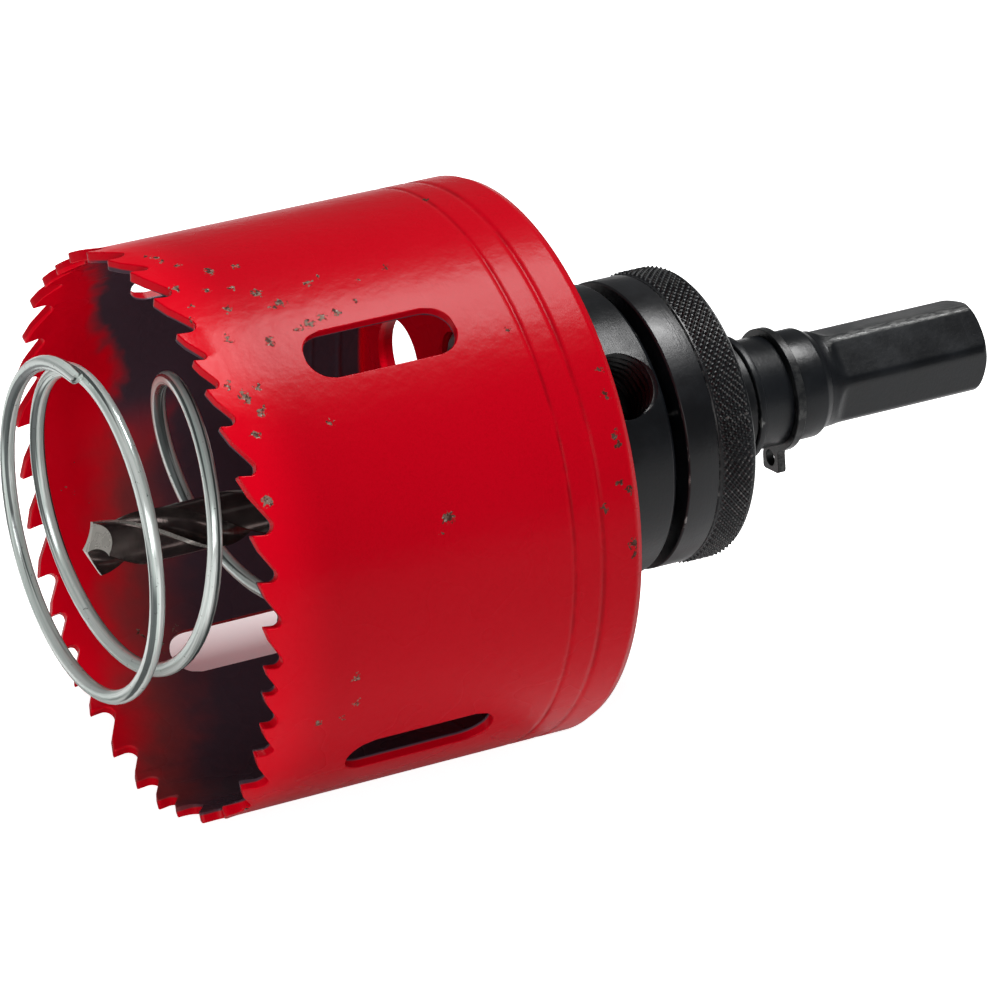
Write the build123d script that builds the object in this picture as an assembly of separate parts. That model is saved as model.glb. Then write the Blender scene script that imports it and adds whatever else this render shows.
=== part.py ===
from math import acos, atan2, cos, exp, log, pi, radians, sin, tan
import os

from build123d import *

# A 68 mm hole saw on a quick-release arbor, lying on the side of its cup.
# Every piece is modelled along the tool axis: z = 0 is the plane of the tooth tips and z grows
# towards the shank. Azimuths are in degrees about that axis: 0 points down, 90 to +Y, 180 up.
# The finished pieces are then laid down so that the tool axis runs along +X, shank last.

# ---- driving dimensions, millimetres and degrees ----------------------------------------------

CUP_D = 68.0
CUP_LENGTH = 48.7
BAND_T = 1.3
BAND_REAR_FILLET = 1.0
CAP_T = 2.0
CAP_OPENING_COUNT = 2
CAP_OPENING_D = 10.6
CAP_OPENING_R = 23.5
CAP_OPENING_AZIMUTH = 97.8

# Variable tooth pitch, 4 to 6 teeth an inch: arc length of each pitch round the rim.
TOOTH_PITCHES = (
    6.7, 6.9, 4.8, 4.9, 4.4, 5.1, 6.2, 6.5, 6.8, 6.9, 6.5, 6.4, 5.8,
    5.0, 5.0, 5.6, 5.9, 6.2, 6.2, 6.3, 4.5, 3.9, 4.7, 6.1, 6.8, 5.5,
    5.3, 5.0, 3.7, 4.5, 4.9, 7.2, 7.3, 7.4, 7.2, 5.5, 5.9,
)
FIRST_TOOTH_AZIMUTH = 2.8
GULLET_DEPTH_SHARE = 0.40
GULLET_RADIUS_SHARE = 0.15
LAND_SHARE = 0.36
RELIEF_ANGLE = 19.0
RAKE_ANGLE = 9.0
TIP_LAND = 0.3

SLOT_COUNT = 4
SLOT_AZIMUTH = 34.4
SLOT_LENGTH = 19.1
SLOT_WIDTH = 6.3
SLOT_CENTRE_Z = 22.3

NOSE_D = 15.7
NOSE_PROUD = 10.0
NOSE_CHAMFER = 1.0
THREAD_CLEARANCE = 0.09

COLLAR_D = 35.8
COLLAR_LENGTH = 13.8
COLLAR_CHAMFER = 0.5
SCREW_HOLE_D = 8.9
SCREW_HOLE_MOUTH = 0.25
SCREW_AZIMUTH = 227.4
SCREW_FROM_COLLAR_FRONT = 8.7
SCREW_LENGTH = 8.0
SCREW_CLEARANCE = 0.1
SCREW_SOCKET_AF = 4.0
SCREW_SOCKET_DEPTH = 4.0

STEM_D = 13.7
STEM_END_Z = 90.2
HEX_AF = 10.9
HEX_ROUND_D = 12.1
HEX_START_Z = 91.6
HEX_AZIMUTH = 14.0
SHANK_END_Z = 114.0
SHANK_EDGE = 0.9

PLATE_BELOW_COLLAR = 0.1
PLATE_GAP = 1.6
PLATE_T = 4.2
PLATE_CHAMFER = 0.2
GRIP_PROUD = 0.2
GRIP_T = 5.2
GRIP_CHAMFER = 0.5
HUB_D = 14.9
HUB_END_Z = 80.0
WASHER_D = 15.6
WASHER_T = 1.0
SLIDE_CLEARANCE = 0.05

PIN_D = 6.2
PIN_CIRCLE_D = 25.4
PIN_AZIMUTH = SCREW_AZIMUTH - 90.0
PIN_INTO_CAP = 1.6
PIN_CHAMFER = 0.5
CAP_PIN_CLEARANCE = 0.2

SLEEVE_TRAVEL = 4.4
CIRCLIP_T = 1.1
CIRCLIP_D = 15.4
CIRCLIP_GROOVE_D = 12.8
CIRCLIP_EAR_WIDTH = 3.7
CIRCLIP_EAR_TIP_R = 10.4
CIRCLIP_EAR_CORNER_R = 0.6
CIRCLIP_EAR_HOLE_D = 2.1
CIRCLIP_EAR_HOLE_R = 8.7
CIRCLIP_GAP = 1.7
CIRCLIP_AZIMUTH = 9.5
CIRCLIP_CLEARANCE = 0.05

DRILL_D = 6.35
DRILL_PROUD = 6.6
DRILL_LENGTH = 80.0
DRILL_FLUTE_LENGTH = 50.0
DRILL_POINT_ANGLE = 135.0
DRILL_LEAD = 33.0
DRILL_WEB = 1.3
DRILL_FLUTE_R = 1.9
DRILL_AZIMUTH = 91.0
DRILL_BORE_CLEARANCE = 0.03
DRILL_BORE_SPARE = 1.0

WIRE_D = 1.8
SPRING_FREE_R = 20.0
SPRING_FREE_Z = -6.8
SPRING_FREE_AZIMUTH = 183.0
SPRING_TURNS = 3.55
SPRING_RISE = 1.75
SPRING_RISE_POWER = 2.9
SPRING_TAPER = 0.93
SPRING_TAPER_POWER = 2.1
SPRING_SEAT_CLEARANCE = 0.35
SPRING_BLEND = 1.2
SPRING_LEAN_UP = 2.1
SPRING_LEAN_SIDE = 1.1
SPRING_ARCS_PER_TURN = 10
SPRING_START_STEP = 0.001

CUT_PAST = 1.0

# ---- stations that follow from them -----------------------------------------------------------

CUP_R = CUP_D / 2
BAND_INNER_R = CUP_R - BAND_T
CAP_FRONT_Z = CUP_LENGTH - CAP_T
COLLAR_END_Z = CUP_LENGTH + COLLAR_LENGTH
SCREW_Z = CUP_LENGTH + SCREW_FROM_COLLAR_FRONT
NOSE_R = NOSE_D / 2
NOSE_FRONT_Z = CAP_FRONT_Z - NOSE_PROUD
STEM_R = STEM_D / 2
PLATE_FRONT_Z = COLLAR_END_Z + PLATE_GAP
PLATE_REAR_Z = PLATE_FRONT_Z + PLATE_T
GRIP_REAR_Z = PLATE_REAR_Z + GRIP_T
WASHER_REAR_Z = HUB_END_Z + WASHER_T
CIRCLIP_FRONT_Z = WASHER_REAR_Z + SLEEVE_TRAVEL
CIRCLIP_REAR_Z = CIRCLIP_FRONT_Z + CIRCLIP_T
SLEEVE_BORE_R = STEM_R + SLIDE_CLEARANCE
PIN_R = PIN_D / 2
PIN_HOLE_R = PIN_R + SLIDE_CLEARANCE
PIN_FRONT_Z = CUP_LENGTH - PIN_INTO_CAP
DRILL_R = DRILL_D / 2
DRILL_BORE_R = DRILL_R + DRILL_BORE_CLEARANCE
DRILL_TIP_Z = -DRILL_PROUD
DRILL_END_Z = DRILL_TIP_Z + DRILL_LENGTH

# The origin is the centre of the shank's end face.
LYING = Location((-SHANK_END_Z, 0, 0), (0, 90, 0))


# ---- helpers ----------------------------------------------------------------------------------

def rod(radius, z0, z1):
    """A round bar on the tool axis."""
    return Pos(0, 0, z0) * Cylinder(radius, z1 - z0, align=(Align.CENTER, Align.CENTER, Align.MIN))


def turned(*outline):
    """A solid of revolution about the tool axis from (radius, z) points."""
    edge = Polyline(*[(r, 0, z) for r, z in outline], close=True)
    return revolve(make_face(edge), Axis.Z)


def across(azimuth):
    """The plane tangent to the tool at an azimuth: x along the rim, y along the axis, z outwards."""
    a = radians(azimuth)
    return Plane(origin=(0, 0, 0), x_dir=(-sin(a), cos(a), 0), z_dir=(cos(a), sin(a), 0))


def at_azimuth(radius, azimuth):
    """Place things on the tool at a radius and an azimuth, parallel to its axis."""
    a = radians(azimuth)
    return Pos(radius * cos(a), radius * sin(a), 0)


def pin_places():
    """Both drive-pin axes."""
    return [at_azimuth(PIN_CIRCLE_D / 2, PIN_AZIMUTH + turn) for turn in (0, 180)]


# ---- pieces of the cup ------------------------------------------------------------------------

def gullet(pitch):
    """The cut between two teeth, drawn flat: x from one tip to the next, y down into the band.

    It starts at one tip's land, follows the relief slope, runs round the gullet and comes up the
    next tooth's hooked rake face.
    """
    hook = radians(RAKE_ANGLE)
    depth = GULLET_DEPTH_SHARE * pitch
    radius = GULLET_RADIUS_SHARE * pitch
    centre_y = depth - radius
    centre_x = pitch + centre_y * tan(hook) - radius / cos(hook)
    heel_x = LAND_SHARE * pitch
    heel_y = (heel_x - TIP_LAND) * tan(radians(RELIEF_ANGLE))
    to_heel = ((heel_x - centre_x) ** 2 + (heel_y - centre_y) ** 2) ** 0.5
    tangent = atan2(heel_y - centre_y, heel_x - centre_x) - acos(radius / to_heel)
    entry = (centre_x + radius * cos(tangent), centre_y + radius * sin(tangent))
    exit_ = (centre_x + radius * cos(hook), centre_y - radius * sin(hook))
    outline = Polyline((pitch, 0), (pitch, -CUT_PAST), (TIP_LAND, -CUT_PAST), (TIP_LAND, 0),
                       (heel_x, heel_y), entry)
    outline += ThreePointArc(entry, (centre_x, depth), exit_)
    outline += Line(exit_, (pitch, 0))
    return make_face(outline)


def wall_cut(azimuth, outline):
    """An outline drawn flat at an azimuth, taken through the cup wall there."""
    inside = BAND_INNER_R - CUT_PAST
    return across(azimuth) * Pos(0, 0, inside) * extrude(outline, BAND_T + 2 * CUT_PAST)


def make_saw_band():
    """The toothed and slotted wall of the cup."""
    ring = turned((BAND_INNER_R, 0), (CUP_R, 0), (CUP_R, CUP_LENGTH), (BAND_INNER_R, CUP_LENGTH))
    rear_circles = ring.edges().filter_by(GeomType.CIRCLE).group_by(Axis.Z)[-1]
    ring = fillet(rear_circles.sort_by(SortBy.RADIUS)[-1], BAND_REAR_FILLET)
    cuts = []
    around = sum(TOOTH_PITCHES)
    travelled = 0.0
    for pitch in TOOTH_PITCHES:
        turn = 360 * pitch / around
        azimuth = FIRST_TOOTH_AZIMUTH + 360 * travelled / around + turn / 2
        chord = 2 * CUP_R * sin(radians(turn / 2))
        cuts.append(wall_cut(azimuth, Pos(-chord / 2, 0) * gullet(chord)))
        travelled += pitch
    slot = Pos(0, SLOT_CENTRE_Z) * SlotOverall(SLOT_LENGTH, SLOT_WIDTH, rotation=90)
    for k in range(SLOT_COUNT):
        cuts.append(wall_cut(SLOT_AZIMUTH + k * 360 / SLOT_COUNT, slot))
    return ring - cuts


def make_back_cap():
    """The round plate in the rear of the band: centre hole, drive-pin holes and open holes."""
    front = CAP_FRONT_Z - CUT_PAST
    rear = CUP_LENGTH + CUT_PAST
    cap = rod(BAND_INNER_R, CAP_FRONT_Z, CUP_LENGTH) - rod(NOSE_R + THREAD_CLEARANCE, front, rear)
    cap -= [place * rod(PIN_R + CAP_PIN_CLEARANCE, front, rear) for place in pin_places()]
    opening = rod(CAP_OPENING_D / 2, front, rear)
    for k in range(CAP_OPENING_COUNT):
        azimuth = CAP_OPENING_AZIMUTH + k * 360 / CAP_OPENING_COUNT
        cap -= at_azimuth(CAP_OPENING_R, azimuth) * opening
    return cap


# ---- pieces of the arbor ----------------------------------------------------------------------

def make_arbor_body():
    """Nose, collar, stem and hex shank in one piece, bored for the pilot drill and the pins."""
    collar_r = COLLAR_D / 2
    groove_r = CIRCLIP_GROOVE_D / 2
    round_r = HEX_ROUND_D / 2
    body = turned(
        (0, NOSE_FRONT_Z), (NOSE_R - NOSE_CHAMFER, NOSE_FRONT_Z),
        (NOSE_R, NOSE_FRONT_Z + NOSE_CHAMFER), (NOSE_R, CUP_LENGTH),
        (collar_r - COLLAR_CHAMFER, CUP_LENGTH), (collar_r, CUP_LENGTH + COLLAR_CHAMFER),
        (collar_r, COLLAR_END_Z - COLLAR_CHAMFER), (collar_r - COLLAR_CHAMFER, COLLAR_END_Z),
        (STEM_R, COLLAR_END_Z), (STEM_R, CIRCLIP_FRONT_Z - CIRCLIP_CLEARANCE),
        (groove_r, CIRCLIP_FRONT_Z - CIRCLIP_CLEARANCE),
        (groove_r, CIRCLIP_REAR_Z + CIRCLIP_CLEARANCE),
        (STEM_R, CIRCLIP_REAR_Z + CIRCLIP_CLEARANCE), (STEM_R, STEM_END_Z), (round_r, HEX_START_Z),
        (round_r, SHANK_END_Z), (0, SHANK_END_Z))
    body = fillet(body.edges().group_by(Axis.Z)[-1], SHANK_EDGE)
    hexagon = Rot(0, 0, HEX_AZIMUTH) * RegularPolygon(HEX_AF / 2, 6, major_radius=False)
    around_hexagon = extrude(Circle(round_r + CUT_PAST) - hexagon, SHANK_END_Z - HEX_START_Z)
    body -= Pos(0, 0, HEX_START_Z) * around_hexagon
    body -= rod(DRILL_BORE_R, NOSE_FRONT_Z - CUT_PAST, DRILL_END_Z + DRILL_BORE_SPARE)
    pin_hole = rod(PIN_HOLE_R, CUP_LENGTH - CUT_PAST, COLLAR_END_Z + CUT_PAST)
    body -= [place * pin_hole for place in pin_places()]
    hole_r = SCREW_HOLE_D / 2
    screw_hole = Circle(hole_r)
    mouth = Pos(0, 0, collar_r) * Cone(hole_r, hole_r + 2 * SCREW_HOLE_MOUTH, 2 * SCREW_HOLE_MOUTH)
    plane = across(SCREW_AZIMUTH)
    cross_hole = plane * Pos(0, SCREW_Z) * (extrude(screw_hole, collar_r + CUT_PAST) + mouth)
    return body - cross_hole


def make_set_screw():
    """Socket set screw in the collar, down on the pilot drill."""
    screw = extrude(Circle(SCREW_HOLE_D / 2 - SCREW_CLEARANCE), SCREW_LENGTH)
    socket = RegularPolygon(SCREW_SOCKET_AF / 2, 6, major_radius=False)
    screw -= Pos(0, 0, SCREW_LENGTH - SCREW_SOCKET_DEPTH) * extrude(socket, SCREW_SOCKET_DEPTH)
    seat = DRILL_R + DRILL_BORE_CLEARANCE
    return across(SCREW_AZIMUTH) * Pos(0, SCREW_Z, seat) * screw


def make_drive_plate():
    """The smooth ring that carries the drive pins and slides on the stem."""
    plate_r = COLLAR_D / 2 - PLATE_BELOW_COLLAR
    plate = turned(
        (SLEEVE_BORE_R, PLATE_FRONT_Z), (plate_r - PLATE_CHAMFER, PLATE_FRONT_Z),
        (plate_r, PLATE_FRONT_Z + PLATE_CHAMFER), (plate_r, PLATE_REAR_Z),
        (SLEEVE_BORE_R, PLATE_REAR_Z))
    pin_hole = rod(PIN_R, PLATE_FRONT_Z - CUT_PAST, PLATE_REAR_Z + CUT_PAST)
    return plate - [place * pin_hole for place in pin_places()]


def make_drive_pins():
    """Two pins, pressed into the drive plate and reaching through the collar into the cap."""
    pin = turned(
        (0, PIN_FRONT_Z), (PIN_R - PIN_CHAMFER, PIN_FRONT_Z), (PIN_R, PIN_FRONT_Z + PIN_CHAMFER),
        (PIN_R, PLATE_REAR_Z), (0, PLATE_REAR_Z))
    return [place * pin for place in pin_places()]


def make_grip_ring():
    """The gripped ring behind the drive plate, with the hub that guides it on the stem."""
    grip_r = COLLAR_D / 2 + GRIP_PROUD
    hub_r = HUB_D / 2
    return turned(
        (SLEEVE_BORE_R, PLATE_REAR_Z), (grip_r - GRIP_CHAMFER, PLATE_REAR_Z),
        (grip_r, PLATE_REAR_Z + GRIP_CHAMFER), (grip_r, GRIP_REAR_Z - GRIP_CHAMFER),
        (grip_r - GRIP_CHAMFER, GRIP_REAR_Z), (hub_r, GRIP_REAR_Z), (hub_r, HUB_END_Z),
        (SLEEVE_BORE_R, HUB_END_Z))


def make_hub_washer():
    """The thin ring on the hub's rear end, which meets the circlip when the sleeve is drawn back."""
    return rod(WASHER_D / 2, HUB_END_Z, WASHER_REAR_Z) - rod(SLEEVE_BORE_R, HUB_END_Z, WASHER_REAR_Z)


def make_circlip():
    """External retaining ring with two eared ends."""
    ring = Circle(CIRCLIP_D / 2)
    ear_length = CIRCLIP_EAR_TIP_R - CIRCLIP_GROOVE_D / 2
    ear_centre_r = CIRCLIP_EAR_TIP_R - ear_length / 2
    ear_turn = (CIRCLIP_GAP + CIRCLIP_EAR_WIDTH) / 2 / CIRCLIP_EAR_HOLE_R * 180 / pi
    ear = Pos(ear_centre_r, 0) * RectangleRounded(ear_length, CIRCLIP_EAR_WIDTH, CIRCLIP_EAR_CORNER_R)
    hole = Pos(CIRCLIP_EAR_HOLE_R, 0) * Circle(CIRCLIP_EAR_HOLE_D / 2)
    turns = [Rot(0, 0, side * ear_turn) for side in (-1, 1)]
    for turn in turns:
        ring += turn * ear
    ring -= Circle(CIRCLIP_GROOVE_D / 2)
    for turn in turns:
        ring -= turn * hole
    ring -= Pos(ear_centre_r, 0) * Rectangle(CIRCLIP_EAR_TIP_R, CIRCLIP_GAP)
    return Pos(0, 0, CIRCLIP_FRONT_Z) * Rot(0, 0, CIRCLIP_AZIMUTH) * extrude(ring, CIRCLIP_T)


# ---- pilot drill and ejector spring -----------------------------------------------------------

def make_pilot_drill():
    """Twist drill: two right-hand flutes, a blunt point and a plain shank."""
    point = DRILL_R / tan(radians(DRILL_POINT_ANGLE / 2))
    blank = turned(
        (0, DRILL_TIP_Z), (DRILL_R, DRILL_TIP_Z + point), (DRILL_R, DRILL_END_Z), (0, DRILL_END_Z))
    flute_length = DRILL_FLUTE_LENGTH + CUT_PAST
    twist = 360 * flute_length / DRILL_LEAD
    start = Pos(0, 0, DRILL_TIP_Z - CUT_PAST) * Rot(0, 0, DRILL_AZIMUTH)
    for side in (-1, 1):
        section = Pos(side * (DRILL_FLUTE_R + DRILL_WEB / 2), 0) * Circle(DRILL_FLUTE_R)
        flute = Solid.extrude_linear_with_rotation(section.face(), (0, 0, 0), (0, 0, flute_length), twist)
        blank -= start * flute
    return blank


def soft_floor(value, floor):
    """value where it is above floor, easing on to floor over SPRING_BLEND."""
    return floor + SPRING_BLEND * log(1 + exp((value - floor) / SPRING_BLEND))


def spring_point(turn):
    """Centre of the wire after a number of turns from the free end; left-hand wound.

    The wire narrows and climbs faster and faster, then closes on the nose against the cap.
    The free end leans, and the lean dies out towards the seat.
    """
    seat_r = NOSE_R + WIRE_D / 2 + SPRING_SEAT_CLEARANCE
    seat_z = CAP_FRONT_Z - WIRE_D / 2 - SPRING_SEAT_CLEARANCE
    radius = soft_floor(SPRING_FREE_R - SPRING_TAPER * turn ** SPRING_TAPER_POWER, seat_r)
    z = -soft_floor(-SPRING_FREE_Z - SPRING_RISE * turn ** SPRING_RISE_POWER, -seat_z)
    a = radians(SPRING_FREE_AZIMUTH - 360 * turn)
    lean = ((radius - seat_r) / (SPRING_FREE_R - seat_r)) ** 0.5
    x = radius * cos(a) - SPRING_LEAN_UP * lean
    y = radius * sin(a) + SPRING_LEAN_SIDE * lean
    return (x, y, z)


def make_ejector_spring():
    """Conical coil of round wire round the pilot drill, cut square at its free end.

    The wire's centre line is a chain of arcs, each tangent to the one before.
    """
    steps = round(SPRING_TURNS * SPRING_ARCS_PER_TURN)
    points = [Vector(spring_point(SPRING_TURNS * k / steps)) for k in range(steps + 1)]
    heading = Vector(spring_point(SPRING_START_STEP)) - points[0]
    arcs = []
    for start, end in zip(points, points[1:]):
        arcs.append(TangentArc(start, end, tangent=heading))
        heading = arcs[-1] % 1
    path = Wire(arcs)
    free_end = Plane(origin=path @ 0, z_dir=path % 0)
    return sweep(free_end * Circle(WIRE_D / 2), path=path)


# ---- build and write --------------------------------------------------------------------------

pieces = {
    "saw_band": make_saw_band(),
    "back_cap": make_back_cap(),
    "arbor_body": make_arbor_body(),
    "set_screw": make_set_screw(),
    "drive_plate": make_drive_plate(),
    "grip_ring": make_grip_ring(),
    "hub_washer": make_hub_washer(),
    "circlip": make_circlip(),
    "pilot_drill": make_pilot_drill(),
    "ejector_spring": make_ejector_spring(),
}
for number, pin in enumerate(make_drive_pins(), start=1):
    pieces[f"drive_pin_{number}"] = pin

os.makedirs("parts", exist_ok=True)
for name, piece in pieces.items():
    export_step(LYING * piece, f"parts/{name}.step")
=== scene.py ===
"""The hole saw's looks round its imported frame: fine meshes, materials, floor, lamps and camera."""
import math

import bmesh
import bpy
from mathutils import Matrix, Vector, geometry
import numpy as np


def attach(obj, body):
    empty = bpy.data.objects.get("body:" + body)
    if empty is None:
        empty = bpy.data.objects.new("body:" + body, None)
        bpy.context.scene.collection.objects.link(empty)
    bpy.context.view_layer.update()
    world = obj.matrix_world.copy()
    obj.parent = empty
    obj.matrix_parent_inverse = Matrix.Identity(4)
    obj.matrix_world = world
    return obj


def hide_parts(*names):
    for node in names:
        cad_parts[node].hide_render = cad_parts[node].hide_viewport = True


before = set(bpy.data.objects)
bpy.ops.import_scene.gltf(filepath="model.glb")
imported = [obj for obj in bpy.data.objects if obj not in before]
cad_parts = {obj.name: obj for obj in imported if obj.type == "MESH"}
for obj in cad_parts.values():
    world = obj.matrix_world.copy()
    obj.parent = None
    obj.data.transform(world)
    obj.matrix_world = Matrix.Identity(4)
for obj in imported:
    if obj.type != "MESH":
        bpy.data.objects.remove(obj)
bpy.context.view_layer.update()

# ---- sizes, in millimetres and degrees along the tool axis ----
# z is 0 at the tooth tips and grows towards the shank; azimuth 0 is down, 90 is +Y and 180 is up.

CUP_R = 34.0
CUP_LENGTH = 48.7
WALL = 1.3
CAP_FRONT_Z = 46.7
REAR_FILLET = 1.0
PRESS_LINES = ((39.5, 0.11, 0.30), (43.3, 0.15, 0.36))      # station, depth, half width
CAP_BORE_R = 7.94
CAP_OPENINGS = ((23.5, 97.8, 5.3), (23.5, 277.8, 5.3))      # radius, azimuth, hole radius
TOOTH_PITCHES = (
    6.7, 6.9, 4.8, 4.9, 4.4, 5.1, 6.2, 6.5, 6.8, 6.9, 6.5, 6.4, 5.8,
    5.0, 5.0, 5.6, 5.9, 6.2, 6.2, 6.3, 4.5, 3.9, 4.7, 6.1, 6.8, 5.5,
    5.3, 5.0, 3.7, 4.5, 4.9, 7.2, 7.3, 7.4, 7.2, 5.5, 5.9,
)
FIRST_TOOTH_AZIMUTH = 2.8
TOOTH_RAKE = 9.0
TOOTH_RELIEF = 19.0
TOOTH_LAND = 0.3
TOOTH_SETS = (0.22, 0.0, -0.22)        # outwards, straight, inwards
TOOTH_SET_Z = (0.4, 3.4)               # the set fades between these stations
TOOTH_SET_LEAD = 0.35                  # degrees before the tip at which a tooth's set begins
# Shares of a tooth's pitch: the length of its back, and its gullet's depth and radius.
TOOTH_BACK_SHARE = 0.36
GULLET_DEPTH_SHARE = 0.40
GULLET_RADIUS_SHARE = 0.15
GULLET_STEPS = 9
SLOT_AZIMUTHS = (34.4, 124.4, 214.4, 304.4)
SLOT_LENGTH = 19.1
SLOT_WIDTH = 6.3
SLOT_CENTRE_Z = 22.3
NOSE_R = 7.85
NOSE_FRONT_Z = 36.7
COLLAR_R = 17.9
COLLAR_END_Z = 62.5
SCREW_AZIMUTH = 227.4
SCREW_Z = 57.4
SCREW_HOLE_R = 4.45
SCREW_R = 3.98
SCREW_LENGTH = 8.0
SOCKET_DEPTH = 4.0
SOCKET_APOTHEM = 2.0
THREAD_CREST_R = 4.03
THREAD_PITCH = 1.25
STEM_R = 6.85
STEM_END_Z = 90.2
SHANK_END_Z = 114.0
SHANK_EDGE = 0.9
HEX_APOTHEM = 5.45
HEX_ROUND_R = 6.05
HEX_START_Z = 91.6
HEX_AZIMUTH = 14.0
HEX_RUNOUT = 2.2                       # the length over which the flats run out, and their rise
HEX_RUNOUT_DEPTH = 1.35
HEX_SOFT = 0.05
HEX_CORNER = 4.26                      # degrees of round corner on each side of a hexagon's edge
PLATE_R = 17.8
GRIP_R = 18.1
PLATE_FRONT_Z = 64.1
PLATE_REAR_Z = 68.3
GRIP_REAR_Z = 73.5
HUB_R = 7.45
HUB_END_Z = 80.0
WASHER_R = 7.8
WASHER_T = 1.0
BORE_R = 6.9
PIN_R = 3.1
PIN_CIRCLE_R = 12.7
PIN_AZIMUTH = 137.4
PIN_FRONT_Z = 47.1
CIRCLIP_Z = (85.4, 86.5)
CIRCLIP_AZIMUTH = 9.5
CIRCLIP_GROOVE_R = 6.4
DRILL_R = 3.175
DRILL_TIP_Z = -6.6
DRILL_END_Z = 73.4
DRILL_LEAD = 33.0
DRILL_FLUTE_LENGTH = 50.0
DRILL_FLUTE_R = 1.9
DRILL_FLUTE_AZIMUTH = 91.0             # one millimetre in front of the tip
DRILL_WEB = 1.3
DRILL_MARGIN = 0.55
DRILL_RELIEVED_R = 3.06
DRILL_BORE_R = 3.205
DRILL_BORE_END_Z = 74.4
WIRE_R = 0.9
SPRING_TURNS = 3.55
SPRING_FREE_R = 20.0
SPRING_FREE_Z = -6.8
SPRING_FREE_AZIMUTH = 183.0
SPRING_LEAN = (-2.1, 1.1)              # of the free end off the axis
# What the radius loses and the station gains: a factor, and the power of the turns made.
SPRING_TIGHTENING = (0.93, 2.1)
SPRING_RISE = (1.75, 2.9)
SPRING_BLEND = 1.2


def polar(r, azimuth, z):
    """A point from its radius, azimuth in degrees and station, in tool coordinates."""
    a = math.radians(azimuth)
    return (r * math.cos(a), r * math.sin(a), z)


def spot(r, azimuth):
    return polar(r, azimuth, 0)[:2]


def to_row(p):
    """Tool coordinates in millimetres to the frame's coordinates in metres."""
    return Vector(((p[2] - SHANK_END_Z) / 1000, p[1] / 1000, -p[0] / 1000))


def x_of(z):
    """A station along the tool as the frame's X."""
    return (z - SHANK_END_Z) / 1000


def direction_to_row(d):
    return Vector((d[2], d[1], -d[0]))


# ---- materials ----

class Graph:
    """A material's nodes, made one by one and joined as they are made."""

    def __init__(self, name):
        self.material = bpy.data.materials.new(name)
        self.material.use_nodes = True
        self.nodes = self.material.node_tree.nodes
        self.links = self.material.node_tree.links
        self.shader = self.nodes["Principled BSDF"]
        self.place = self.add("ShaderNodeTexCoord").outputs["Object"]

    def add(self, kind, inputs=(), **settings):
        node = self.nodes.new(kind)
        for key, value in settings.items():
            setattr(node, key, value)
        for key, value in dict(inputs).items():
            self.feed(node.inputs[key], value)
        return node

    def feed(self, socket, value):
        if isinstance(value, bpy.types.NodeSocket):
            self.links.new(value, socket)
        else:
            socket.default_value = value

    def set(self, **values):
        for key, value in values.items():
            self.feed(self.shader.inputs[key.replace("_", " ")], value)

    def math(self, operation, a, b=0.0):
        return self.add("ShaderNodeMath", {0: a, 1: b}, operation=operation).outputs[0]

    def times(self, a, *factors):
        for b in factors:
            a = self.math("MULTIPLY", a, b)
        return a

    def vector(self, operation, a, b=(0, 0, 0), output="Vector"):
        node = self.add("ShaderNodeVectorMath", {0: a, 1: b}, operation=operation)
        return node.outputs[output]

    def along(self, axis):
        """The place on one of the frame's axes, in metres."""
        return self.add("ShaderNodeSeparateXYZ", {0: self.place}).outputs[axis]

    def radius(self):
        """Distance from the tool's axis, in metres."""
        across = self.vector("MULTIPLY", self.place, (0, 1, 1))
        return self.vector("LENGTH", across, output="Value")

    def noise(self, scale, detail=3.0, roughness=0.5, where=None, output="Fac", distortion=0.0):
        node = self.add("ShaderNodeTexNoise", {
            "Vector": where or self.place, "Scale": scale, "Detail": detail,
            "Roughness": roughness, "Distortion": distortion})
        return node.outputs[output]

    def grain(self, scale, detail, roughness, where=None):
        """Noise whose scale differs by axis, for marks that run one way."""
        mapping = self.add("ShaderNodeMapping", {"Vector": where or self.place, "Scale": scale})
        return self.noise(1.0, detail, roughness, mapping.outputs[0])

    def ramp(self, value, low, high, start=0.0, end=1.0):
        """value mapped smoothly from low..high to start..end."""
        return self.add("ShaderNodeMapRange", {
            "Value": value, "From Min": low, "From Max": high, "To Min": start, "To Max": end},
            interpolation_type="SMOOTHSTEP").outputs["Result"]

    def mix(self, fac, a, b):
        # Sockets 0, 6 and 7 are the factor and the two colours, and output 2 is the colour.
        return self.add("ShaderNodeMix", {0: fac, 6: a, 7: b}, data_type="RGBA").outputs[2]

    def bump(self, height, strength, distance, normal=None):
        inputs = {"Height": height, "Strength": strength, "Distance": distance}
        if normal is not None:
            inputs["Normal"] = normal
        return self.add("ShaderNodeBump", inputs).outputs["Normal"]

    def near(self, point, radius):
        """1 at a point of the tool, falling to 0 at radius millimetres."""
        away = self.vector("DISTANCE", self.place, to_row(point), "Value")
        return self.ramp(away, radius / 1000, 0.0)


def colour(red, green, blue):
    """sRGB 0..255 to a linear RGBA tuple."""
    linear = [(v / 255 / 12.92) if v <= 10.31 else ((v / 255 + 0.055) / 1.055) ** 2.4
              for v in (red, green, blue)]
    return (*linear, 1.0)


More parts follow.
